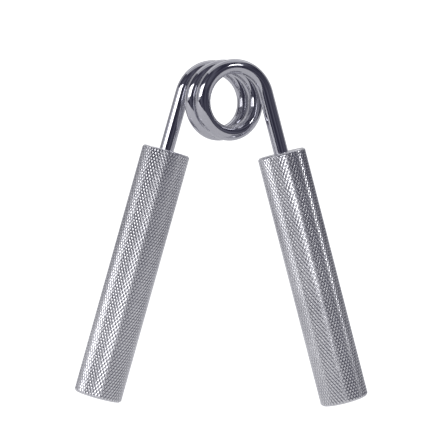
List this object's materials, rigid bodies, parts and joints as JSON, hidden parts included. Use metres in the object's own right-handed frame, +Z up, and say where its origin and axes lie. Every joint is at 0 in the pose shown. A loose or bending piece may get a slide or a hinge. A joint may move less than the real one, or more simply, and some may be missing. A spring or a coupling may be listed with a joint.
{
  "type": "hand grip strengthener",
  "caption": "Torsion-spring hand gripper: a coiled round-wire steel spring with a knurled round metal handle pressed on each straight leg, squeezed shut in one hand.",
  "frame": {"origin": "middle of the coil, on the hinge axis about which the two handles close", "axes": "+X from the left handle to the right one, +Y along the hinge axis towards the back of the coil, +Z up, from the handles to the coil"},
  "size_m": [0.1146, 0.029, 0.135],
  "materials": {
    "spring_chrome": "polished chrome plate on spring steel wire",
    "handle_aluminium": "bright machined aluminium with a fine diamond knurl"
  },
  "bodies": {
    "left_arm": {"spring_coil": "spring_chrome", "spring_leg_left": "spring_chrome", "handle_left": "handle_aluminium"},
    "right_arm": {"spring_leg_right": "spring_chrome", "handle_right": "handle_aluminium"}
  },
  "joints": [
    {"name": "squeeze", "type": "hinge", "parent": "left_arm", "child": "right_arm", "pos_m": [0, 0, 0], "axis": [0, 1, 0], "range_deg": [0, 36.5], "stiffness_Nm_per_rad": 49, "deforming": ["spring_coil"]}
  ]
}
